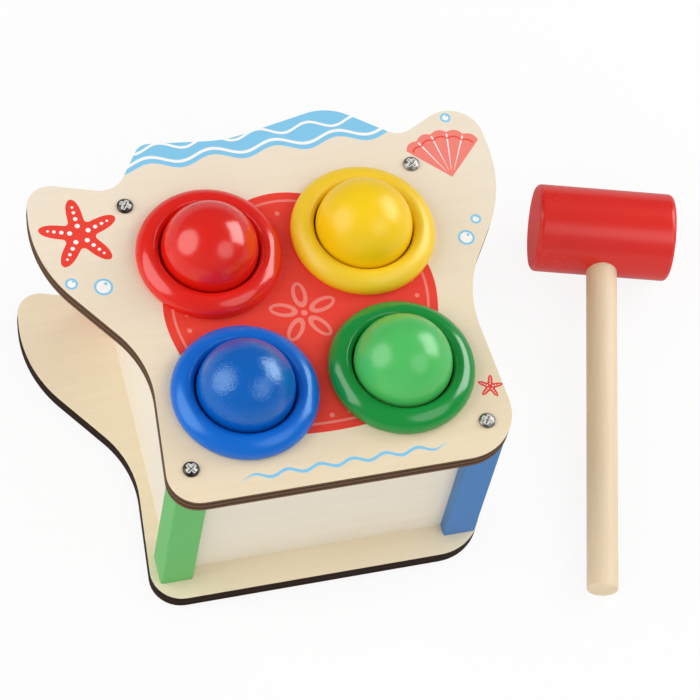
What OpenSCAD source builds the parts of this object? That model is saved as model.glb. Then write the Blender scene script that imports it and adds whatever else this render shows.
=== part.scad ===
// Ball pounding bench: two plywood plates held apart by four painted posts, with thin panels let
// into the posts, a ball ramp inside, four balls in collars on the top plate, and a mallet beside it.
// Millimetres. The origin is the centre of the four posts on the underside of the base plate.
// +X is to the right, +Y is to the rear and +Z is up.

/* [Plates] */
// Thickness of the top plate and of the base plate
plate_t = 7.5; // [5:0.5:9]
// Height of the bench from the floor to the top plate's upper face
bench_h = 106; // [100:1:130]
// How far the plates run past the front posts' centre line
front_overhang = 17; // [15:0.5:30]

/* [Posts] */
// Width and depth of a square post
post_w = 15.5; // [14:0.5:17]
// Rounding of a post's upright edges
post_edge = 1; // [0.5:0.1:2]
// Distance between post centres, left to right
post_pitch_x = 137; // [135:1:160]
// Distance between post centres, front to rear
post_pitch_y = 138; // [135:1:160]

/* [Plate outline] */
// Every pair gives the left side and then the right side, measured from the posts' centre lines
// Front corners: how far out
front_out = [13, 15]; // [10:0.5:25]
// Front corners: rounding
front_r = [14.5, 24.5]; // [5:0.5:30]
// Waists: how far out
waist_out = [6, 8]; // [5:0.5:12]
// Waists: how far behind the front posts
waist_back = [57, 68]; // [45:1:75]
// Waists: rounding
waist_r = [51.5, 60]; // [20:0.5:70]
// Wings: how far out
wing_out = [48.5, 40.5]; // [30:0.5:55]
// Wings: how far ahead of the rear posts
wing_fore = [22, 19]; // [10:1:30]
// Wings: rounding
wing_r = [62.5, 71.5]; // [30:0.5:80]
// Wing tips: how far out
tip_out = [42.5, 36]; // [30:0.5:50]
// Wing tips: how far behind the rear posts
tip_back = [20, 35]; // [18:1:40]
// Wing tips: rounding
tip_r = [11, 15.5]; // [5:0.5:20]
// Dips beside the wings: how far out
dip_out = [2.5, -1.5]; // [-3:0.5:6]
// Dips beside the wings: how far behind the rear posts
dip_back = [8, 16]; // [8:0.5:17]
// Dips beside the wings: rounding
dip_r = [12.5, 10.5]; // [5:0.5:15]
// Rear bumps: how far in
bump_in = [13.5, 31.5]; // [10:0.5:36]
// Rear bumps: how far behind the rear posts
bump_back = [32, 38]; // [30:0.5:45]
// Rear bumps: rounding
bump_r = [7.5, 24.5]; // [5:0.5:30]
// Hollow between the rear bumps: how far right of the middle
hollow_x = -15; // [-20:0.5:10]
// Hollow between the rear bumps: how far behind the rear posts
hollow_back = 27.5; // [22:0.5:29]
// Hollow between the rear bumps: rounding
hollow_r = 59.5; // [10:0.5:80]

/* [Panels] */
// Thickness of the front, left and right panels
panel_t = 3.5; // [2.5:0.5:5]
// Depth of the grooves in the posts that hold the panels
groove_d = 4; // [3:0.5:4.5]
// Room between a panel and its groove, on each side
groove_gap = 0.1; // [0.05:0.05:0.3]

/* [Balls, collars and retainers] */
// Diameter of a ball
ball_d = 45; // [42:0.5:47]
// Distance between ball centres, left to right and front to rear
ball_pitch = 73; // [72:0.5:75]
// Height of a resting ball's centre above the top plate
ball_sit = 6.3; // [4:0.1:8]
// Room round a ball in the top plate's hole
hole_gap = 0.6; // [0.4:0.1:1]
// Room round a ball in a collar
collar_gap = 0.6; // [0.4:0.1:1.2]
// Radius of a collar's outer side, which is half of its width
collar_tube = 5.25; // [4:0.05:5.4]
// Height of the outer side's centre above the top plate
collar_rise = 2.5; // [1:0.1:3.5]
// Radius of a collar's crown, between its outer side and its lip
collar_crown = 9.7; // [8:0.1:12]
// How far up the outer side the crown starts, in degrees
crown_start = 38; // [30:1:45]
// Radius of a collar's lip, beside the ball
collar_lip = 3.55; // [3.2:0.05:3.8]
// Thickness of an elastic retainer washer under the top plate
retainer_t = 2; // [1:0.5:3]
// How far the washer reaches past the edge of the ball's hole
retainer_lap = 5.5; // [4:0.5:5.5]
// Room between a resting ball and its retainer
seat_gap = 0.3; // [0.2:0.05:0.5]

/* [Ball ramp] */
// Slope of the ramp, down towards the open rear, in degrees
ramp_angle = 10; // [6:1:13]
// Thickness of the ramp board
ramp_t = 4; // [3:0.5:5]
// Thickness left at the ramp's rear edge
ramp_toe = 2; // [1:0.5:2.5]
// Room between the ramp and the posts, the front panel and a ball that has dropped
ramp_gap = 0.3; // [0.2:0.1:1]
// Depth of the batten that carries the ramp's front end
batten_w = 10; // [6:1:20]
// Room between the ramp and the top of its batten
batten_gap = 0.05; // [0.02:0.01:0.2]

/* [Screws] */
// Shank diameter
screw_d = 3.5; // [3:0.5:4]
// Shank length under the head
screw_l = 22; // [16:1:30]
// Head diameter
screw_head_d = 7.5; // [6.5:0.5:9]
// Height of a raised head
screw_head_h = 2.4; // [1.8:0.1:3]
// Height of a raised head at its edge
screw_rim_h = 0.8; // [0.4:0.1:1.2]
// Height of a countersunk head
screw_cone_h = 2.6; // [2:0.1:3.5]
// How deep a countersunk head sits below the base plate's underside
screw_sink = 0.3; // [0.1:0.1:1]
// Room round a shank in a plate or a post
screw_gap = 0.05; // [0.02:0.01:0.2]
// Length of each arm of the cross recess, tip to tip
recess_l = 5; // [3:0.2:5]
// Width of an arm of the cross recess
recess_w = 1.4; // [0.8:0.1:1.6]
// Depth of the cross recess
recess_d = 1.5; // [0.8:0.1:1.5]
// How far the top screws are turned, to one side or the other, in degrees
screw_turn = 35; // [0:5:45]

/* [Mallet] */
// Diameter of the mallet's head
mallet_d = 43; // [36:1:50]
// Length of the mallet's head
mallet_l = 68; // [50:1:80]
// Rounding of the head's rims
mallet_rim = 2.5; // [1:0.5:5]
// Diameter of the handle
handle_d = 15; // [12:0.5:18]
// Length of the handle outside the head
handle_l = 168; // [120:1:220]
// Rounding of the handle's free end
handle_end = 1.5; // [0.5:0.5:4]
// Depth of the handle's socket in the head
socket_d = 28; // [18:1:32]
// Room round the handle in its socket
socket_gap = 0.05; // [0.02:0.01:0.2]
// Distance from the right wing's outer corner to the middle of the head
mallet_off = 68; // [60:1:120]
// Distance of the head behind the middle of the bench
mallet_back = 64; // [-60:1:100]
// How far the handle is turned in towards the bench, in degrees
mallet_turn = 15; // [0:1:20]

/* [Hidden] */
$fn = 64;
// Longest chord on a rounded corner
chord = 2.5;
// Cuts run this far past the faces that they open
past = 1;

// Places of the posts, the plates and the balls
post_x = post_pitch_x / 2;
post_y = post_pitch_y / 2;
post_h = bench_h - 2 * plate_t;
top_z = bench_h - plate_t;
spot = ball_pitch / 2;
sides = [-1, 1];

// Colours
ply = "blanchedalmond";
cream = "ivory";
red = "firebrick";
yellow = "gold";
blue = "royalblue";
green = "forestgreen";
light_green = "mediumseagreen";
steel = "silver";
rubber = "tan";

// Balls, collars and retainers
ball_r = ball_d / 2;
hole_r = ball_r + hole_gap;
collar_in = ball_r + collar_gap;
collar_r = collar_in + collar_tube;
outer_side = [collar_r, collar_rise];
crown_centre = outer_side - (collar_crown - collar_tube) * [cos(crown_start), sin(crown_start)];
// The crown ends where a lip that is tangent to it stands upright beside the ball
crown_end = acos((collar_in + collar_lip - crown_centre.x) / (collar_crown - collar_lip));
lip_centre = crown_centre + (collar_crown - collar_lip) * [cos(crown_end), sin(crown_end)];
retainer_r = sqrt(pow(ball_r + seat_gap, 2) - pow(ball_sit + plate_t, 2));

// Panels and grooves
groove_w = panel_t + 2 * groove_gap;
panel_reach = post_w / 2 - groove_d + groove_gap;

// Ramp, as heights over the bench's front-to-rear line
ramp_front = -post_y + panel_t / 2 + ramp_gap;
ramp_rear = post_y + post_w / 2 - ramp_toe;
ramp_half_w = post_x - post_w / 2 - ramp_gap;
function ramp_top(y) = plate_t + ramp_toe + (ramp_rear - y) * tan(ramp_angle);
function ramp_under(y) = ramp_top(y) - ramp_t / cos(ramp_angle);
ramp_heel = ramp_rear - (ramp_t / cos(ramp_angle) - ramp_toe) / tan(ramp_angle);

// Screws
screw_r = screw_d / 2;
screw_hole_r = screw_r + screw_gap;
screw_head_r = screw_head_d / 2;
screw_tip = screw_d;
screw_point_r = screw_r / 4;
pilot_l = screw_l - plate_t + screw_sink + past;

// Mallet: the head lies on its side and the end of the handle rests on the floor
mallet_r = mallet_d / 2;
handle_r = handle_d / 2;
mallet_x = post_x + wing_out[1] + mallet_off;
handle_reach = mallet_r + handle_l;
end_reach = [handle_reach - handle_end, handle_r - handle_end];
mallet_tilt = asin((mallet_r - handle_end) / norm(end_reach)) - atan2(end_reach.y, end_reach.x);

// Outline of both plates: one side's corners from the front to the rear, and then the whole round
function side_corners(i) = let(s = sides[i]) [
    [s * (post_x + front_out[i]), -post_y - front_overhang, front_r[i]],
    [s * (post_x + waist_out[i]), -post_y + waist_back[i], waist_r[i]],
    [s * (post_x + wing_out[i]), post_y - wing_fore[i], wing_r[i]],
    [s * (post_x + tip_out[i]), post_y + tip_back[i], tip_r[i]],
    [s * (post_x + dip_out[i]), post_y + dip_back[i], dip_r[i]],
    [s * (post_x - bump_in[i]), post_y + bump_back[i], bump_r[i]]];
function reversed(list) = [for (i = [len(list) - 1 : -1 : 0]) list[i]];
outline = concat(side_corners(1), [[hollow_x, post_y + hollow_back, hollow_r]], reversed(side_corners(0)));

// Polygon with rounded corners: each corner is [x, y, rounding], and an edge that is too short
// for the roundings at its two ends limits them both
function flat(c) = [c.x, c.y];
function unit(v) = v / norm(v);
function next(list, i) = list[(i + 1) % len(list)];
function last(list, i) = list[(i + len(list) - 1) % len(list)];
function half_angle(a, b, c) = acos(unit(flat(a) - flat(b)) * unit(flat(c) - flat(b))) / 2;
function tangents(corners) = [for (i = [0 : len(corners) - 1])
    corners[i].z / tan(half_angle(last(corners, i), corners[i], next(corners, i)))];
function edge_share(a, b, ta, tb) = ta + tb == 0 ? 1 : min(1, norm(flat(a) - flat(b)) / (ta + tb));
function corner_share(corners, t, i) = min(
    edge_share(last(corners, i), corners[i], last(t, i), t[i]),
    edge_share(corners[i], next(corners, i), t[i], next(t, i)));
function corner_arc(a, b, c, r) = r == 0 ? [flat(b)] : let(
    to_a = unit(flat(a) - flat(b)),
    to_c = unit(flat(c) - flat(b)),
    half = half_angle(a, b, c),
    centre = flat(b) + unit(to_a + to_c) * r / sin(half),
    spoke = flat(b) + to_a * r / tan(half) - centre,
    turn = sign(cross(to_c, to_a)) * (180 - 2 * half),
    steps = max(4, ceil(r * abs(turn) * PI / 180 / chord)))
    [for (k = [0 : steps]) let(g = turn * k / steps)
        centre + [spoke.x * cos(g) - spoke.y * sin(g), spoke.x * sin(g) + spoke.y * cos(g)]];
function rounded(corners) = let(t = tangents(corners)) [for (i = [0 : len(corners) - 1])
    each corner_arc(last(corners, i), corners[i], next(corners, i),
        corners[i].z * corner_share(corners, t, i))];

// Repeated shapes
module at_posts() {
    for (sx = sides, sy = sides) translate([sx * post_x, sy * post_y, 0]) children();
}

module at_balls() {
    for (sx = sides, sy = sides) translate([sx * spot, sy * spot, 0]) children();
}

module blank_plate() {
    linear_extrude(plate_t) polygon(rounded(outline));
}

module post(sx, sy) {
    translate([sx * post_x, sy * post_y, plate_t]) difference() {
        linear_extrude(post_h) polygon(rounded([for (c = [[-1, -1], [1, -1], [1, 1], [-1, 1]])
            [c.x * post_w / 2, c.y * post_w / 2, post_edge]]));
        // Groove for the side panel
        translate([-groove_w / 2, -sy * post_w / 2 - groove_d, -past])
            cube([groove_w, 2 * groove_d, post_h + 2 * past]);
        // Groove for the front panel
        if (sy < 0) translate([-sx * post_w / 2 - groove_d, -groove_w / 2, -past])
            cube([2 * groove_d, groove_w, post_h + 2 * past]);
        // Pilot holes for the screws at both ends
        for (z = [-past, post_h - pilot_l]) translate([0, 0, z])
            cylinder(h = pilot_l + past, r = screw_hole_r);
    }
}

module side_panel(sx) {
    translate([sx * post_x - panel_t / 2, panel_reach - post_y, plate_t])
        cube([panel_t, post_pitch_y - 2 * panel_reach, post_h]);
}

// Section of a collar: the outer side, the crown and the lip run into one another
module collar_section() {
    crown_out = crown_centre + collar_crown * [cos(crown_start), sin(crown_start)];
    crown_in = crown_centre + collar_crown * [cos(crown_end), sin(crown_end)];
    foot = collar_r + sqrt(pow(collar_tube, 2) - pow(collar_rise, 2));
    intersection() {
        translate(outer_side) circle(collar_tube);
        square([collar_r + collar_tube, collar_rise + collar_tube]);
    }
    translate(lip_centre) circle(collar_lip);
    intersection() {
        translate(crown_centre) circle(collar_crown);
        polygon([outer_side, 2 * crown_out - outer_side, 2 * crown_in - lip_centre, lip_centre]);
    }
    polygon([[collar_in, 0], [foot, 0], outer_side, lip_centre, [collar_in, lip_centre.y]]);
}

module collar(sx, sy) {
    translate([sx * spot, sy * spot, bench_h]) rotate_extrude() collar_section();
}

module retainer(sx, sy) {
    translate([sx * spot, sy * spot, top_z - retainer_t]) difference() {
        cylinder(h = retainer_t, r = hole_r + retainer_lap);
        translate([0, 0, -past]) cylinder(h = retainer_t + 2 * past, r = retainer_r);
    }
}

module ball(sx, sy) {
    translate([sx * spot, sy * spot, bench_h + ball_sit]) sphere(ball_r);
}

// Shank that points down from the underside of a head
module shank() {
    translate([0, 0, screw_tip - screw_l]) cylinder(h = screw_l - screw_tip, r = screw_r);
    translate([0, 0, -screw_l]) cylinder(h = screw_tip, r1 = screw_point_r, r2 = screw_r);
}

// Cross recess, cut down from a head's upper face
module cross_recess() {
    for (turn = [0, 90]) rotate(turn) translate([-recess_l / 2, -recess_w / 2, -recess_d])
        cube([recess_l, recess_w, recess_d + past]);
}

module raised_screw() {
    dome_h = screw_head_h - screw_rim_h;
    dome_r = (pow(screw_head_r, 2) + pow(dome_h, 2)) / (2 * dome_h);
    difference() {
        union() {
            intersection() {
                cylinder(h = screw_head_h, r = screw_head_r);
                translate([0, 0, screw_head_h - dome_r]) sphere(dome_r);
            }
            shank();
        }
        translate([0, 0, screw_head_h]) cross_recess();
    }
}

module countersunk_screw() {
    difference() {
        union() {
            translate([0, 0, -screw_cone_h]) cylinder(h = screw_cone_h, r1 = screw_r, r2 = screw_head_r);
            shank();
        }
        cross_recess();
    }
}

module place_mallet() {
    translate([mallet_x, mallet_back, mallet_r]) rotate([0, 0, -mallet_turn]) rotate([mallet_tilt, 0, 0])
        children();
}

// Plates
module top_plate() {
    color(ply) translate([0, 0, top_z]) difference() {
        blank_plate();
        at_balls() translate([0, 0, -past]) cylinder(h = plate_t + 2 * past, r = hole_r);
        at_posts() translate([0, 0, -past]) cylinder(h = plate_t + 2 * past, r = screw_hole_r);
    }
}

module base_plate() {
    color(ply) difference() {
        blank_plate();
        at_posts() translate([0, 0, -past]) cylinder(h = plate_t + 2 * past, r = screw_hole_r);
        at_posts() translate([0, 0, screw_sink])
            cylinder(h = screw_cone_h, r1 = screw_head_r + screw_gap, r2 = screw_hole_r);
        at_posts() translate([0, 0, -past]) cylinder(h = past + screw_sink, r = screw_head_r + screw_gap);
    }
}

// Posts
module post_front_left() { color(green) post(-1, -1); }
module post_front_right() { color(blue) post(1, -1); }
module post_rear_left() { color(red) post(-1, 1); }
module post_rear_right() { color(yellow) post(1, 1); }

// Panels
module front_panel() {
    color(cream) translate([panel_reach - post_x, -post_y - panel_t / 2, plate_t])
        cube([post_pitch_x - 2 * panel_reach, panel_t, post_h]);
}

module left_panel() { color(cream) side_panel(-1); }
module right_panel() { color(cream) side_panel(1); }

// Ball ramp: it slopes down from the batten at the front to a toe on the base plate
module ball_ramp() {
    color(ply) translate([-ramp_half_w, 0, 0]) rotate([90, 0, 90]) linear_extrude(2 * ramp_half_w)
        polygon([
            [ramp_heel, plate_t], [ramp_rear, plate_t], [ramp_rear, ramp_top(ramp_rear)],
            [ramp_front, ramp_top(ramp_front)], [ramp_front, ramp_under(ramp_front)]]);
}

module ramp_batten() {
    near = -post_y + panel_t / 2;
    far = near + batten_w;
    color(ply) translate([-ramp_half_w, 0, 0]) rotate([90, 0, 90]) linear_extrude(2 * ramp_half_w)
        polygon([
            [near, plate_t], [far, plate_t],
            [far, ramp_under(far) - batten_gap], [near, ramp_under(near) - batten_gap]]);
}

// Collars, retainers and balls
module collar_red() { color(red) collar(-1, 1); }
module collar_yellow() { color(yellow) collar(1, 1); }
module collar_blue() { color(blue) collar(-1, -1); }
module collar_green() { color(green) collar(1, -1); }
module retainer_red() { color(rubber) retainer(-1, 1); }
module retainer_yellow() { color(rubber) retainer(1, 1); }
module retainer_blue() { color(rubber) retainer(-1, -1); }
module retainer_green() { color(rubber) retainer(1, -1); }
module ball_red() { color(red) ball(-1, 1); }
module ball_yellow() { color(yellow) ball(1, 1); }
module ball_blue() { color(blue) ball(-1, -1); }
module ball_green() { color(light_green) ball(1, -1); }

// Screws
module top_screws() {
    color(steel) for (sx = sides, sy = sides) translate([sx * post_x, sy * post_y, bench_h])
        rotate(sx * sy * screw_turn) raised_screw();
}

module base_screws() {
    color(steel) at_posts() translate([0, 0, screw_sink]) rotate([180, 0, 0]) countersunk_screw();
}

// Mallet
module mallet_head() {
    color(red) place_mallet() difference() {
        rotate([0, 90, 0]) rotate_extrude() polygon(rounded([
            [0, -mallet_l / 2, 0], [mallet_r, -mallet_l / 2, mallet_rim],
            [mallet_r, mallet_l / 2, mallet_rim], [0, mallet_l / 2, 0]]));
        translate([0, socket_d - mallet_r, 0]) rotate([90, 0, 0])
            cylinder(h = socket_d + past, r = handle_r + socket_gap);
    }
}

module mallet_handle() {
    inner_end = socket_d - mallet_r - socket_gap;
    color(ply) place_mallet() rotate([90, 0, 0]) rotate_extrude() polygon(rounded([
        [0, -inner_end, 0], [handle_r, -inner_end, 0],
        [handle_r, handle_reach, handle_end], [0, handle_reach, 0]]));
}

top_plate();
base_plate();
post_front_left();
post_front_right();
post_rear_left();
post_rear_right();
front_panel();
left_panel();
right_panel();
ball_ramp();
ramp_batten();
collar_red();
collar_yellow();
collar_blue();
collar_green();
retainer_red();
retainer_yellow();
retainer_blue();
retainer_green();
ball_red();
ball_yellow();
ball_blue();
ball_green();
top_screws();
base_screws();
mallet_head();
mallet_handle();
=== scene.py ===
import math

import bmesh
import bpy
from mathutils import Matrix, Vector


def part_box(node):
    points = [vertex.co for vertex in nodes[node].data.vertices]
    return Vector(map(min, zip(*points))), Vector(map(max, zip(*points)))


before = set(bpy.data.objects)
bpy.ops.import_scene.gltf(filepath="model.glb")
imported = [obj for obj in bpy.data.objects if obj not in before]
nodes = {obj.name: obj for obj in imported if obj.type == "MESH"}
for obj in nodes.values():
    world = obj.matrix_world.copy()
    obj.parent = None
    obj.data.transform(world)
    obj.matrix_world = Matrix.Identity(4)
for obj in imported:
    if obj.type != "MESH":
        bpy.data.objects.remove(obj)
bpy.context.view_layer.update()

MM = 0.001
WHITE = (1.0, 1.0, 1.0, 1.0)
ORIGIN = (0.0, 0.0, 0.0)


# Sizes that the looks follow, read from the solids, and the width of a screw's head
plate_low, plate_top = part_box("top_plate")
base_low, base_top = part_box("base_plate")
screw_low, screw_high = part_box("top_screws")
screw_head = 7.5 * MM


def centre(node):
    """Middle of a solid's box."""
    low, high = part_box(node)
    return (low + high) / 2


def paint(red, green, blue):
    """A colour given in display values from 0 to 255, turned by the sRGB curve into a socket's values."""
    def linear(value):
        share = value / 255
        return share / 12.92 if share <= 0.04045 else ((share + 0.055) / 1.055) ** 2.4
    return (linear(red), linear(green), linear(blue), 1.0)


# Wiring of shader trees
def wire(tree, value, socket):
    """Puts a socket or a plain value into a socket."""
    if isinstance(value, bpy.types.NodeSocket):
        tree.links.new(value, socket)
    else:
        socket.default_value = value


def put(tree, kind, inputs=None, **settings):
    """A new shader node with its settings and its inputs."""
    node = tree.nodes.new("ShaderNode" + kind)
    for key, value in settings.items():
        setattr(node, key, value)
    for key, value in (inputs or {}).items():
        wire(tree, value, node.inputs[key])
    return node


def calc(tree, operation, *values):
    """One step of arithmetic."""
    node = put(tree, "Math", operation=operation)
    for socket, value in zip(node.inputs, values):
        wire(tree, value, socket)
    return node.outputs[0]


def mixed(tree, amount, first, second):
    """The first colour where amount is 0, the second where it is 1."""
    return put(tree, "Mix", {0: amount, 6: first, 7: second}, data_type="RGBA").outputs[2]


def blend(tree, amount, first, second):
    """The first number where amount is 0, the second where it is 1."""
    return put(tree, "Mix", {0: amount, 2: first, 3: second}).outputs[0]


def rise(tree, value, low, high):
    """0 below low, 1 above high, smooth between them."""
    inputs = {0: value, 1: low, 2: high}
    return put(tree, "MapRange", inputs, interpolation_type="SMOOTHSTEP").outputs[0]


def fall(tree, value, low, high):
    """1 below low, 0 above high, smooth between them."""
    return calc(tree, "SUBTRACT", 1.0, rise(tree, value, low, high))


def spread(tree, value, low, high):
    """A value from 0 to 1 spread over low to high."""
    return put(tree, "MapRange", {0: value, 3: low, 4: high}).outputs[0]


def noise(tree, spot, scale=1.0, detail=2.0, rough=0.5):
    """Soft noise from 0 to 1."""
    inputs = {"Vector": spot, "Scale": scale, "Detail": detail, "Roughness": rough}
    return put(tree, "TexNoise", inputs).outputs[0]


def place(tree, step=(1.0, 1.0, 1.0), middle=ORIGIN, turn=ORIGIN):
    """Object coordinates counted in steps, from a middle point and turned with a piece."""
    spot = put(tree, "TexCoord").outputs["Object"]
    inputs = {"Vector": spot, "Location": middle, "Rotation": turn, "Scale": step}
    return put(tree, "Mapping", inputs, vector_type="TEXTURE").outputs[0]


def split(tree, vector):
    """The three parts of a vector."""
    return put(tree, "SeparateXYZ", {0: vector}).outputs


def turned_by(tree, vector, turn):
    """A vector turned round the upright axis."""
    return put(tree, "VectorRotate", {"Vector": vector, "Angle": turn}, rotation_type="Z_AXIS").outputs[0]


def facing(tree):
    """The surface's own direction on the object."""
    return put(tree, "TexCoord").outputs["Normal"]


def bump(tree, height, strength, distance):
    """A normal pushed by a height."""
    return put(tree, "Bump", {"Height": height, "Strength": strength, "Distance": distance}).outputs[0]


def new_group(name, inputs, outputs):
    """An empty shader group, with its input sockets by name and its output node."""
    tree = bpy.data.node_groups.new(name, "ShaderNodeTree")
    for label, kind in inputs:
        tree.interface.new_socket(label, in_out="INPUT", socket_type="NodeSocket" + kind)
    for label, kind in outputs:
        tree.interface.new_socket(label, in_out="OUTPUT", socket_type="NodeSocket" + kind)
    return tree, tree.nodes.new("NodeGroupInput").outputs, tree.nodes.new("NodeGroupOutput").inputs


def use_group(tree, group, inputs=None):
    """A group placed in a tree, as its output sockets."""
    node = tree.nodes.new("ShaderNodeGroup")
    node.node_tree = group
    for key, value in (inputs or {}).items():
        wire(tree, value, node.inputs[key])
    return node.outputs


def new_material(name):
    """A fresh material, its tree and its surface shader."""
    made = bpy.data.materials.new(name)
    made.use_nodes = True
    return made, made.node_tree, made.node_tree.nodes["Principled BSDF"]


def finish_shader(tree, shader, colour, roughness, normal, **constants):
    """Wires a surface and sets the numbers that are the same all over it."""
    wire(tree, colour, shader.inputs["Base Color"])
    wire(tree, roughness, shader.inputs["Roughness"])
    wire(tree, normal, shader.inputs["Normal"])
    for label, value in constants.items():
        shader.inputs[label.replace("_", " ")].default_value = value


# Straight grain of a pale wood: its place is counted in streaks, long along X
fine_ratio = (3.0, 6.0, 6.0)
broad_share = 0.62
fine_share = 0.38
pore_range = (0.60, 0.78)
pore_depth = 0.6


def make_grain():
    """The shared grain, as a tone and a height."""
    tree, given, out = new_group(
        "Pale wood grain", [("Place", "Vector")], [("Tone", "Float"), ("Height", "Float")])
    broad = noise(tree, given["Place"], detail=3.0, rough=0.55)
    fine_place = put(tree, "VectorMath", {0: given["Place"], 1: fine_ratio}, operation="MULTIPLY").outputs[0]
    fine = noise(tree, fine_place, rough=0.6)
    broad_tone = calc(tree, "MULTIPLY", broad, broad_share)
    fine_tone = calc(tree, "MULTIPLY", fine, fine_share)
    wire(tree, calc(tree, "ADD", broad_tone, fine_tone), out["Tone"])
    pores = calc(tree, "MULTIPLY", rise(tree, fine, *pore_range), pore_depth)
    wire(tree, calc(tree, "SUBTRACT", fine, pores), out["Height"])
    return tree


# Sprayed paint: a little unevenness in gloss and in height
cloud_scale = 0.12
cloud_share = 0.7
peel_share = 0.3
cloud_lift = 2.0


def make_film():
    """The shared film of paint, as a gloss and a height."""
    tree, given, out = new_group(
        "Paint film", [("Place", "Vector")], [("Gloss", "Float"), ("Height", "Float")])
    cloud = noise(tree, given["Place"], cloud_scale)
    peel = noise(tree, given["Place"])
    cloud_gloss = calc(tree, "MULTIPLY", cloud, cloud_share)
    peel_gloss = calc(tree, "MULTIPLY", peel, peel_share)
    wire(tree, calc(tree, "ADD", cloud_gloss, peel_gloss), out["Gloss"])
    wire(tree, calc(tree, "ADD", calc(tree, "MULTIPLY", cloud, cloud_lift), peel), out["Height"])
    return tree


# Seaside print on the top plate, drawn in millimetres from the middle of the bench
print_red = paint(236, 56, 42)
print_pink = paint(242, 128, 116)
print_sky = paint(128, 200, 236)
print_white = paint(250, 248, 244)
edge_soft = 0.16
arm_count = 5
shore_end = 68.0
foam_back = 3.4
foam_half = 0.8
crest_half = 0.7
ripple_full = 34.0
ripple_end = 58.0
ripple_swell = 1.2
ripple_cut = 0.35
bubbles = (
    (-77.0, 84.0, 3.6), (-101.0, 33.0, 3.0), (-87.0, 29.0, 4.4),
    (91.0, 91.5, 2.6), (84.0, 26.0, 4.0), (91.0, 35.0, 2.6))


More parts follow.
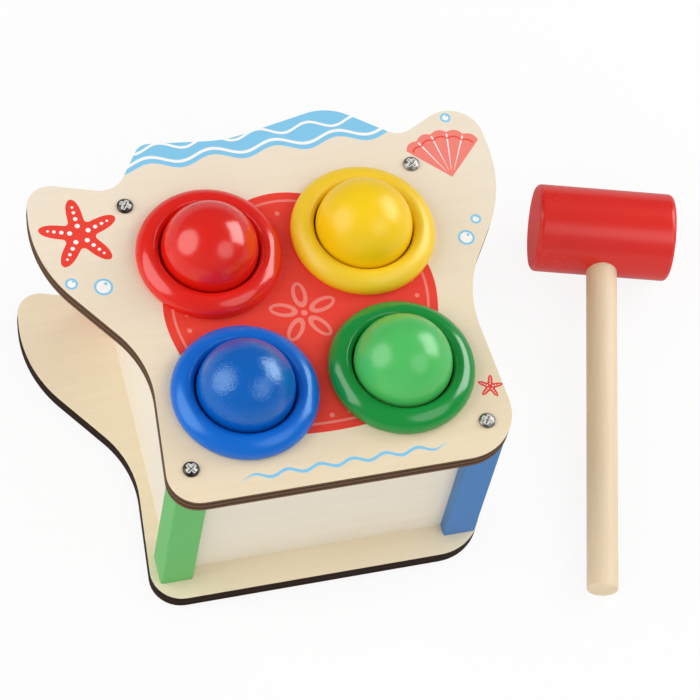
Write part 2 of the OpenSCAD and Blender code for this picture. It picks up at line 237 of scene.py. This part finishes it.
def make_print():
    """The shared print, as a colour and a cover."""
    tree, _, out = new_group("Seaside print", [], [("Color", "Color"), ("Cover", "Float")])
    x, y, _ = split(tree, place(tree, (MM, MM, MM)))
    flat = put(tree, "CombineXYZ", {0: x, 1: y}).outputs[0]
    layers = []

    def inside(gap):
        """1 where the gap to an edge is below 0, and 0 beyond it."""
        return fall(tree, gap, -edge_soft, edge_soft)

    def within(length, limit):
        """1 where a length is below its limit."""
        return inside(calc(tree, "SUBTRACT", length, limit))

    def both(*masks):
        """Where all of the masks cover."""
        total = masks[0]
        for mask in masks[1:]:
            total = calc(tree, "MULTIPLY", total, mask)
        return total

    def away(px, py):
        """Distance from a point."""
        return put(tree, "VectorMath", {0: flat, 1: (px, py, 0.0)}, operation="DISTANCE").outputs["Value"]

    def polar(px, py, turn):
        """Distance from a point, and the angle round it from a direction."""
        step = put(tree, "VectorMath", {0: flat, 1: (px, py, 0.0)}, operation="SUBTRACT").outputs[0]
        u, v, _ = split(tree, turned_by(tree, step, -turn))
        return away(px, py), calc(tree, "ARCTAN2", v, u)

    def along_arm(far, angle, count):
        """Lengths along and across the nearest of some arms round a point."""
        arm = calc(tree, "WRAP", angle, math.pi / count, -math.pi / count)
        along = calc(tree, "MULTIPLY", far, calc(tree, "COSINE", arm))
        across = calc(tree, "MULTIPLY", far, calc(tree, "SINE", arm))
        return along, across

    def diagonal(u, v):
        """Length of two parts at right angles."""
        square = calc(tree, "ADD", calc(tree, "MULTIPLY", u, u), calc(tree, "MULTIPLY", v, v))
        return calc(tree, "SQRT", square)

    def dots(far, angle, count, ring, size, tint):
        """A ring of round dots."""
        along, across = along_arm(far, angle, count)
        off = calc(tree, "SUBTRACT", along, ring)
        layers.append((within(diagonal(off, across), size), tint))

    def lobes_of(angle, count):
        """A swing from 1 on each arm to -1 between the arms."""
        return calc(tree, "COSINE", calc(tree, "MULTIPLY", angle, count))

    def sand_dollar(px, py, reach, turn, body, line):
        """A round sea biscuit: five petals in the middle, a fine ring and dots near its rim."""
        swell, ring_inset, ring_half = 1.6, 4.5, 0.6
        dot_count, dot_inset, dot_size, heart_size = 40, 9.5, 1.1, 1.5
        petals = ((9.6, 6.6, 3.5, line), (10.2, 4.6, 1.7, body))
        far, angle = polar(px, py, turn)
        edge = calc(tree, "MULTIPLY_ADD", lobes_of(angle, arm_count), swell, reach)
        layers.append((within(far, edge), body))
        ring = calc(tree, "SUBTRACT", calc(tree, "SUBTRACT", edge, far), ring_inset)
        layers.append((within(calc(tree, "ABSOLUTE", ring), ring_half), line))
        dots(far, angle, dot_count, reach - dot_inset, dot_size, line)
        along, across = along_arm(far, angle, arm_count)
        for middle, half_long, half_wide, tint in petals:
            long_part = calc(tree, "DIVIDE", calc(tree, "SUBTRACT", along, middle), half_long)
            wide_part = calc(tree, "DIVIDE", across, half_wide)
            past = calc(tree, "SUBTRACT", diagonal(long_part, wide_part), 1.0)
            layers.append((inside(calc(tree, "MULTIPLY", past, half_wide)), tint))
        dots(far, angle, arm_count, 0.0, heart_size, line)

    def fan_shell(px, py, reach, turn, half, ribs, body, line, rim):
        """A small fan shell with its hinge at a point, opening in the direction of turn."""
        scallop, margin, rib_range = 0.055, 1.2, (0.10, 0.20)
        hinge_low, hinge_high, arc_place, arc_half = 0.16, 0.17, 0.86, 0.016
        far, angle = polar(px, py, turn)
        lobes = calc(tree, "ABSOLUTE", lobes_of(angle, ribs))
        edge = calc(tree, "MULTIPLY_ADD", lobes, reach * scallop, reach)
        past_side = calc(tree, "SUBTRACT", calc(tree, "ABSOLUTE", angle), half)
        beside = calc(tree, "MULTIPLY", past_side, far)
        gap = calc(tree, "MAXIMUM", calc(tree, "SUBTRACT", far, edge), beside)
        layers.append((inside(gap), body))
        inner = inside(calc(tree, "ADD", gap, margin))
        rib_line = fall(tree, lobes, *rib_range)
        clear = rise(tree, far, reach * hinge_low, reach * hinge_high)
        layers.append((both(inner, rib_line, clear), line))
        arc = calc(tree, "SUBTRACT", far, calc(tree, "MULTIPLY", edge, arc_place))
        arc_line = within(calc(tree, "ABSOLUTE", arc), reach * arc_half)
        layers.append((both(arc_line, inner), rim))

    def starfish(px, py, reach, turn, body, dot):
        """Five rounded arms with a row of dots along each."""
        taper, arm_share, waist_share = 1.5, 0.6, 0.4
        rows = ((0.24, 0.060), (0.44, 0.052), (0.62, 0.042), (0.77, 0.032))
        far, angle = polar(px, py, turn)
        lobes = calc(tree, "MULTIPLY_ADD", lobes_of(angle, arm_count), 0.5, 0.5)
        lobes = calc(tree, "POWER", lobes, taper)
        edge = calc(tree, "MULTIPLY_ADD", lobes, reach * arm_share, reach * waist_share)
        layers.append((within(far, edge), body))
        for share, size in rows:
            dots(far, angle, arm_count, reach * share, reach * size, dot)

    def bubble(px, py, reach):
        """A ring with a small glint."""
        rim, glint_x, glint_y, glint_size = 1.1, 0.30, 0.34, 0.17
        far = away(px, py)
        layers.append((within(far, reach), print_sky))
        layers.append((within(far, reach - rim), print_white))
        glint = away(px + reach * glint_x, py + reach * glint_y)
        layers.append((within(glint, reach * glint_size), print_sky))

    def behind_wave(level, height, span, shift):
        """How far a point lies behind a wavy line across the plate."""
        swing = calc(tree, "SINE", calc(tree, "MULTIPLY_ADD", x, 2 * math.pi / span, shift))
        return calc(tree, "SUBTRACT", y, calc(tree, "MULTIPLY_ADD", swing, height, level))

    # Waves along the rear edge, between the wings
    shore = within(x, shore_end)
    sea = behind_wave(level=87.6, height=2.2, span=30.0, shift=0.0)
    layers.append((both(shore, inside(calc(tree, "MULTIPLY", sea, -1.0))), print_sky))
    foam = calc(tree, "ABSOLUTE", calc(tree, "SUBTRACT", sea, foam_back))
    layers.append((both(shore, within(foam, foam_half)), print_white))
    crest = calc(tree, "ABSOLUTE", behind_wave(level=98.0, height=2.0, span=24.0, shift=1.2))
    layers.append((both(shore, within(crest, crest_half)), print_white))
    # Sand dollar in the middle
    sand_dollar(0.0, 0.0, reach=63.0, turn=math.radians(90), body=print_red, line=print_pink)
    # Shell on the right wing
    fan_shell(
        86.0, 59.0, reach=25.0, turn=math.radians(91), half=math.radians(45), ribs=10,
        body=print_pink, line=print_white, rim=print_red)
    # Starfish on the left wing and by the right front corner
    starfish(-92.0, 58.0, reach=19.0, turn=math.radians(20), body=print_red, dot=print_white)
    starfish(74.5, -52.0, reach=6.0, turn=math.radians(75), body=print_red, dot=print_white)
    for px, py, reach in bubbles:
        bubble(px, py, reach)
    # Ripple along the front edge, which thins out towards its ends
    ripple = calc(tree, "ABSOLUTE", behind_wave(level=-77.5, height=1.2, span=15.0, shift=0.0))
    fade = fall(tree, calc(tree, "ABSOLUTE", x), ripple_full, ripple_end)
    half_width = calc(tree, "MULTIPLY_ADD", fade, ripple_swell, -ripple_cut)
    layers.append((within(ripple, half_width), print_sky))

    colour, cover = print_white, 0.0
    for mask, tint in layers:
        colour = mixed(tree, mask, colour, tint)
        cover = calc(tree, "MAXIMUM", cover, mask)
    wire(tree, colour, out["Color"])
    wire(tree, cover, out["Cover"])
    return tree


grain_group = make_grain()
film_group = make_film()
print_group = make_print()

# Bare wood: height and strength of its grain
grain_height = 0.1 * MM
wood_lift = 0.12


def pale_wood(name, light, dark, streak, turn=ORIGIN, middle=ORIGIN, gloss=(0.42, 0.58)):
    """Bare or thinly varnished wood with a straight grain."""
    made, tree, shader = new_material(name)
    grain = use_group(tree, grain_group, {"Place": place(tree, streak, middle, turn)})
    colour = mixed(tree, grain["Tone"], light, dark)
    roughness = spread(tree, grain["Tone"], *gloss)
    finish_shader(tree, shader, colour, roughness, bump(tree, grain["Height"], wood_lift, grain_height))
    return made


# Plywood: the steps of its patterns, the layers of its burnt edge, and the gloss of wood, ink and edge
veneer_streak = (46 * MM, 3.2 * MM, 3.2 * MM)
jitter_step = (9 * MM, 9 * MM, 1.0)
smoke_step = (2.5 * MM, 2.5 * MM, 0.5 * MM)
ply_turns = 15.7
ply_jitter = 0.05
seam_range = (0.45, 0.9)
smoke_range = (0.35, 1.1)
edge_slope = (0.45, 0.55)
print_slope = (0.5, 0.6)
veneer_gloss = (0.40, 0.54)
veneer_lift = 0.08
veneer_shine = 0.2
ink_roughness = 0.36
ink_wear = 0.05
burnt_roughness = 0.7


def plywood(name, low, high, front_tones, rear_tones_with_painted_light, burnt, seam, printed):
    """Pale plywood: grain on the faces, painted light that turns them paler and cooler towards the rear,
    burnt layers on the cut edges, and a print on the upper face.
    """
    made, tree, shader = new_material(name)
    grain = use_group(tree, grain_group, {"Place": place(tree, veneer_streak)})
    _, back, height = split(tree, place(tree))
    # From front to rear the faces drift to the rear tones: painted light, paler and cooler at the back.
    painted_light_drift = rise(tree, back, plate_low.y, plate_top.y)
    light = mixed(tree, painted_light_drift, front_tones[0], rear_tones_with_painted_light[0])
    dark = mixed(tree, painted_light_drift, front_tones[1], rear_tones_with_painted_light[1])
    face = mixed(tree, grain["Tone"], light, dark)
    jitter = noise(tree, place(tree, jitter_step), detail=3.0, rough=0.6)
    depth = put(tree, "MapRange", {0: height, 1: low, 2: high}).outputs[0]
    depth = calc(tree, "ADD", depth, spread(tree, jitter, -ply_jitter, ply_jitter))
    swing = calc(tree, "SINE", calc(tree, "MULTIPLY", depth, ply_turns))
    ply = calc(tree, "ADD", calc(tree, "MULTIPLY", swing, 0.5), 0.5)
    smoke = noise(tree, place(tree, smoke_step), detail=3.0, rough=0.7)
    ply = calc(tree, "MULTIPLY", rise(tree, ply, *seam_range), spread(tree, smoke, *smoke_range))
    edge = mixed(tree, ply, burnt, seam)
    up = split(tree, facing(tree))[2]
    on_edge = fall(tree, calc(tree, "ABSOLUTE", up), *edge_slope)
    gloss = spread(tree, grain["Tone"], *veneer_gloss)
    if printed:
        ink = use_group(tree, print_group)
        cover = calc(tree, "MULTIPLY", ink["Cover"], rise(tree, up, *print_slope))
        inked = mixed(tree, calc(tree, "MULTIPLY", grain["Tone"], ink_wear), ink["Color"], face)
        face = mixed(tree, cover, face, inked)
        gloss = blend(tree, cover, gloss, ink_roughness)
    colour = mixed(tree, on_edge, face, edge)
    roughness = blend(tree, on_edge, gloss, burnt_roughness)
    normal = bump(tree, grain["Height"], veneer_lift, grain_height)
    finish_shader(tree, shader, colour, roughness, normal, Specular_IOR_Level=veneer_shine)
    return made


# Paint: how dark its film goes, the film's height, and the flat ends that are more matt than the rest
deep_share = 0.90
film_height = 0.2 * MM
end_slope = (0.90, 0.99)
end_roughness = 0.6


def painted(name, colour, gloss, step, lift, axis=None, **constants):
    """Painted wood or glossy plastic with a slightly uneven film, more matt on the ends across an axis."""
    made, tree, shader = new_material(name)
    film = use_group(tree, film_group, {"Place": place(tree, (step, step, step))})
    deep = tuple(part * deep_share for part in colour[:3]) + (1.0,)
    tint = mixed(tree, film["Gloss"], deep, colour)
    roughness = spread(tree, film["Gloss"], *gloss)
    if axis is not None:
        inputs = {0: facing(tree), 1: axis}
        along = put(tree, "VectorMath", inputs, operation="DOT_PRODUCT").outputs["Value"]
        on_end = rise(tree, calc(tree, "ABSOLUTE", along), *end_slope)
        roughness = blend(tree, on_end, roughness, end_roughness)
    finish_shader(tree, shader, tint, roughness, bump(tree, film["Height"], lift, film_height), **constants)
    return made


# Steel: its tones, paler on the right as painted reflection, how ragged the cross's edge is, and the width
# and reach of the cross, bright as bare metal and painted glint, and of the painted shade in its groove
left_steel = (paint(58, 54, 50), paint(92, 87, 82))
right_steel_painted_reflection = (paint(108, 104, 100), paint(176, 172, 168))
bare_steel_and_painted_glint = paint(236, 235, 232)
groove_painted_shade = paint(74, 70, 66)
scuff_step = (0.5 * MM, 0.5 * MM, 0.5 * MM)
scuff_height = 0.05 * MM
scuff_lift = 0.2
ragged_half = 0.3 * MM
cross_width = (0.95 * MM, 1.25 * MM)
cross_reach = (2.6 * MM, 2.9 * MM)
groove_width = (0.12 * MM, 0.34 * MM)
groove_reach = (1.9 * MM, 2.3 * MM)
bright_cross_metallic = 0.1
steel_gloss = (0.28, 0.46)


def screw_steel(name, turn):
    """Dark plated steel, bright round the cross recess as bare metal and painted glint, with painted shade
    down the groove and painted reflection that makes the heads on the right paler; the recess is turned
    alike on each diagonal.
    """
    made, tree, shader = new_material(name)
    across, back, _ = split(tree, place(tree))
    half_x = (screw_high.x - screw_low.x - screw_head) / 2
    half_y = (screw_high.y - screw_low.y - screw_head) / 2
    side = calc(tree, "SUBTRACT", calc(tree, "ABSOLUTE", across), half_x)
    ahead = calc(tree, "SUBTRACT", calc(tree, "ABSOLUTE", back), half_y)
    on_head = put(tree, "CombineXYZ", {0: side, 1: ahead}).outputs[0]
    far = put(tree, "VectorMath", {0: on_head}, operation="LENGTH").outputs["Value"]
    along, beside, _ = split(tree, turned_by(tree, on_head, -turn))
    slot = calc(tree, "MINIMUM", calc(tree, "ABSOLUTE", along), calc(tree, "ABSOLUTE", beside))
    scuff = noise(tree, place(tree, scuff_step), detail=3.0, rough=0.6)
    ragged = calc(tree, "ADD", slot, spread(tree, scuff, -ragged_half, ragged_half))
    cross = calc(tree, "MULTIPLY", fall(tree, ragged, *cross_width), fall(tree, far, *cross_reach))
    # Painted shade down the middle of the cross recess, where it is deepest.
    groove_shade = calc(tree, "MULTIPLY", fall(tree, slot, *groove_width), fall(tree, far, *groove_reach))
    # Heads right of the middle take paler steel tones: painted reflection of the right lights, not a
    # different steel.
    plating_and_painted_reflection = mixed(
        tree, rise(tree, across, 0.0, MM), mixed(tree, scuff, *left_steel), mixed(tree, scuff, *right_steel_painted_reflection))
    # The cross is painted bright, as bare metal and as painted glint, with the painted shade in its groove.
    colour = mixed(tree, cross, plating_and_painted_reflection, mixed(tree, groove_shade, bare_steel_and_painted_glint, groove_painted_shade))
    wire(tree, spread(tree, cross, 1.0, bright_cross_metallic), shader.inputs["Metallic"])
    roughness = spread(tree, scuff, *steel_gloss)
    finish_shader(tree, shader, colour, roughness, bump(tree, scuff, scuff_lift, scuff_height))
    return made


# Rubber: its tones, and the step, height and strength of its specks
rubber_tones = (paint(186, 146, 98), paint(206, 168, 118))
rubber_gloss = (0.6, 0.8)
speck_step = (0.8 * MM, 0.8 * MM, 0.8 * MM)
speck_height = 0.1 * MM
speck_lift = 0.3


def rubber():
    """Matt elastic sheet."""
    made, tree, shader = new_material("retainer_rubber")
    speck = noise(tree, place(tree, speck_step), rough=0.6)
    roughness = spread(tree, speck, *rubber_gloss)
    normal = bump(tree, speck, speck_lift, speck_height)
    finish_shader(tree, shader, mixed(tree, speck, *rubber_tones), roughness, normal)
    return made


def dress(node, made):
    """Gives a solid its finish."""
    slots = nodes[node].data.materials
    slots.clear()
    slots.append(made)


# Plates: each veneer has a light and a dark tone; the top plate drifts from its front tones to paler, cooler
# rear tones, which are painted light
front_veneer = (paint(241, 225, 196), paint(231, 210, 175))
rear_veneer_painted_light = (paint(242, 231, 212), paint(233, 217, 194))
base_veneer = (paint(244, 233, 207), paint(234, 218, 187))
dress("top_plate", plywood(
    "top_plywood", plate_low.z, plate_top.z, front_veneer, rear_veneer_painted_light,
    burnt=paint(71, 49, 33), seam=paint(136, 100, 71), printed=True))
dress("base_plate", plywood(
    "base_plywood", base_low.z, base_top.z, base_veneer, base_veneer,
    burnt=paint(33, 17, 9), seam=paint(62, 35, 20), printed=False))

# Boards
board_streak = (40 * MM, 3 * MM, 3 * MM)
panel_wood = pale_wood("panel_wood", paint(245, 237, 222), paint(234, 223, 203), board_streak)
for node in ("front_panel", "left_panel", "right_panel"):
    dress(node, panel_wood)
ramp_wood = pale_wood("ramp_wood", paint(238, 224, 198), paint(224, 206, 174), board_streak)
for node in ("ball_ramp", "ramp_batten"):
    dress(node, ramp_wood)

# Posts
post_gloss = (0.38, 0.5)
post_step = 1.2 * MM
post_lift = 0.12
post_shine = 0.3
post_paints = {
    "post_front_left": ("post_green", paint(108, 194, 108)),
    "post_front_right": ("post_blue", paint(73, 131, 195)),
    "post_rear_left": ("post_red", paint(212, 52, 44)),
    "post_rear_right": ("post_yellow", paint(246, 205, 52)),
}
for node, (name, colour) in post_paints.items():
    dress(node, painted(name, colour, post_gloss, post_step, post_lift, Specular_IOR_Level=post_shine))

# Collars and balls: colour, range of roughness, step and lift of the film, shine and the tint of that shine
warm_shine = (1.0, 0.90, 0.86, 1.0)
cool_shine = (0.55, 0.88, 1.0, 1.0)
pale_shine = (0.64, 0.93, 1.0, 1.0)
collar_paints = {
    "red": (paint(234, 28, 15), (0.14, 0.20), 6 * MM, 0.06, 0.75, WHITE),
    "yellow": (paint(255, 212, 24), (0.34, 0.42), 6 * MM, 0.06, 0.7, WHITE),
    "blue": (paint(6, 106, 212), (0.20, 0.26), 6 * MM, 0.06, 0.75, cool_shine),
    "green": (paint(14, 147, 60), (0.14, 0.20), 6 * MM, 0.06, 0.75, WHITE),
}
ball_paints = {
    "red": (paint(230, 26, 14), (0.16, 0.24), 2.4 * MM, 0.20, 0.95, warm_shine),
    "yellow": (paint(254, 209, 8), (0.27, 0.35), 2.4 * MM, 0.15, 0.5, WHITE),
    "blue": (paint(5, 97, 190), (0.08, 0.14), 0.8 * MM, 0.80, 0.95, pale_shine),
    "green": (paint(80, 196, 98), (0.22, 0.30), 3.5 * MM, 0.35, 0.70, WHITE),
}
for kind, paints in (("collar_", collar_paints), ("ball_", ball_paints)):
    for name, (colour, gloss, step, lift, shine, tint) in paints.items():
        dress(kind + name, painted(
            kind + name, colour, gloss, step, lift, Specular_IOR_Level=shine, Specular_Tint=tint))

# Retainers and screws
elastic = rubber()
screw_turn = math.radians(35)
for name in collar_paints:
    dress("retainer_" + name, elastic)
dress("top_screws", screw_steel("top_screw_steel", screw_turn))
dress("base_screws", screw_steel("base_screw_steel", 0.0))

# Mallet, which lies turned a little clockwise, seen from above
mallet_turn = math.radians(-15)
head_axis = (math.cos(mallet_turn), math.sin(mallet_turn), 0.0)
head_gloss = (0.22, 0.32)
head_step = 5 * MM
head_lift = 0.05
head_shine = 0.75
dress("mallet_head", painted(
    "mallet_red", paint(234, 32, 21), head_gloss, head_step, head_lift, head_axis,
    Specular_IOR_Level=head_shine))
dress("mallet_handle", pale_wood(
    "handle_wood", paint(246, 226, 196), paint(230, 203, 166), streak=(2.2 * MM, 60 * MM, 2.2 * MM),
    turn=(0.0, 0.0, mallet_turn), middle=tuple(centre("mallet_handle")), gloss=(0.5, 0.66)))


# Studio: a pale floor, a plain bright surround and five soft lights
floor_half = 4.0
floor_grey = (0.90, 0.90, 0.90, 1.0)
floor_roughness = 0.9
floor_mirrored = 0.45
floor_glow = 0.88
world_level = 0.41
world_horizon = 0.6
world_ceiling = 0.14
horizon_top = 0.17
light_distance = 1.3


def new_floor():
    """Paper under the part: it takes shadows, and glows nearly white where it is seen or mirrored."""
    shape = bmesh.new()
    bmesh.ops.create_grid(shape, x_segments=1, y_segments=1, size=floor_half)
    data = bpy.data.meshes.new("floor")
    shape.to_mesh(data)
    shape.free()
    floor = bpy.data.objects.new("floor", data)
    bpy.context.scene.collection.objects.link(floor)
    made, tree, shader = new_material("floor_paper")
    shader.inputs["Base Color"].default_value = floor_grey
    shader.inputs["Roughness"].default_value = floor_roughness
    ray = put(tree, "LightPath").outputs
    strength = spread(tree, ray["Is Glossy Ray"], 1.0, floor_mirrored)
    glow = put(tree, "Emission", {"Color": WHITE, "Strength": strength}).outputs[0]
    straight = calc(tree, "MAXIMUM", ray["Is Camera Ray"], ray["Is Transmission Ray"])
    straight = calc(tree, "MAXIMUM", straight, ray["Is Glossy Ray"])
    seen = calc(tree, "MULTIPLY", straight, floor_glow)
    shown = put(tree, "MixShader", {0: seen, 1: shader.outputs[0], 2: glow}).outputs[0]
    wire(tree, shown, tree.nodes["Material Output"].inputs["Surface"])
    data.materials.append(made)


def new_world(level, horizon, ceiling):
    """Even light on the part; the background is white, and reflections of it dim towards the ceiling."""
    world = bpy.data.worlds.new("studio")
    world.use_nodes = True
    tree = world.node_tree
    ray = put(tree, "LightPath").outputs
    mirror = calc(tree, "MAXIMUM", ray["Is Glossy Ray"], ray["Is Transmission Ray"])
    up = split(tree, put(tree, "TexCoord").outputs["Generated"])[2]
    overhead = spread(tree, rise(tree, up, 0.0, horizon_top), horizon, ceiling)
    strength = blend(tree, mirror, level, overhead)
    strength = blend(tree, ray["Is Camera Ray"], strength, 1.0)
    wire(tree, WHITE, tree.nodes["Background"].inputs["Color"])
    wire(tree, strength, tree.nodes["Background"].inputs["Strength"])
    bpy.context.scene.world = world


def soft_light(
        name, shape, toward, wide, tall, power, distance=light_distance, mirrored=True, spreading=True):
    """A soft light aimed at the bench, which shows in reflections, lights matt paint, or both."""
    lamp = bpy.data.lights.new(name, "AREA")
    lamp.shape = shape
    lamp.size, lamp.size_y, lamp.energy = wide, tall, power
    item = bpy.data.objects.new(name, lamp)
    target = Vector((0.0, 0.0, plate_top.z))
    direction = Vector(toward).normalized()
    item.location = target + direction * distance
    item.rotation_mode = "QUATERNION"
    item.rotation_quaternion = (-direction).to_track_quat("-Z", "Y")
    item.visible_glossy = mirrored
    item.visible_diffuse = spreading
    bpy.context.scene.collection.objects.link(item)


new_floor()
new_world(world_level, world_horizon, world_ceiling)
left_aim = (-0.83, 0.14, 0.54)
right_aim = (0.83, 0.21, 0.50)
front_aim = (0.43, -0.52, 0.75)
fill_aim = (-0.40, -0.84, 0.34)
soft_light("left_light", "ELLIPSE", left_aim, wide=1.26, tall=1.22, power=9.4)
soft_light("right_light", "RECTANGLE", right_aim, wide=1.00, tall=0.78, power=7.6)
# The sheen hangs just in front of the right light, since of two lights in one place only one is mirrored
soft_light(
    "right_sheen", "RECTANGLE", right_aim, wide=0.98, tall=0.76, power=4.4, distance=1.28, spreading=False)
soft_light("front_light", "ELLIPSE", front_aim, wide=0.92, tall=0.92, power=3.0)
soft_light("fill_light", "RECTANGLE", fill_aim, wide=2.4, tall=1.2, power=5.8, mirrored=False)


# Camera at the photograph's place
camera_place = Vector((-345.38, -757.56, 1519.0)) * MM
camera_heading = math.radians(26.18)
camera_drop = math.radians(59.9)
camera_roll = math.radians(14.02)
forward = Vector((
    math.sin(camera_heading) * math.cos(camera_drop),
    math.cos(camera_heading) * math.cos(camera_drop),
    -math.sin(camera_drop)))
level = Vector((math.cos(camera_heading), -math.sin(camera_heading), 0.0))
under = forward.cross(level)
right = math.cos(camera_roll) * level - math.sin(camera_roll) * under
down = math.sin(camera_roll) * level + math.cos(camera_roll) * under
lens = bpy.data.cameras.new("camera")
lens.lens, lens.sensor_width = 185.54, 36.0
camera = bpy.data.objects.new("camera", lens)
turned = Matrix((right, -down, -forward)).transposed()
camera.matrix_world = Matrix.Translation(camera_place) @ turned.to_4x4()
bpy.context.scene.collection.objects.link(camera)
bpy.context.scene.camera = camera
bpy.context.scene.view_settings.view_transform = "Standard"
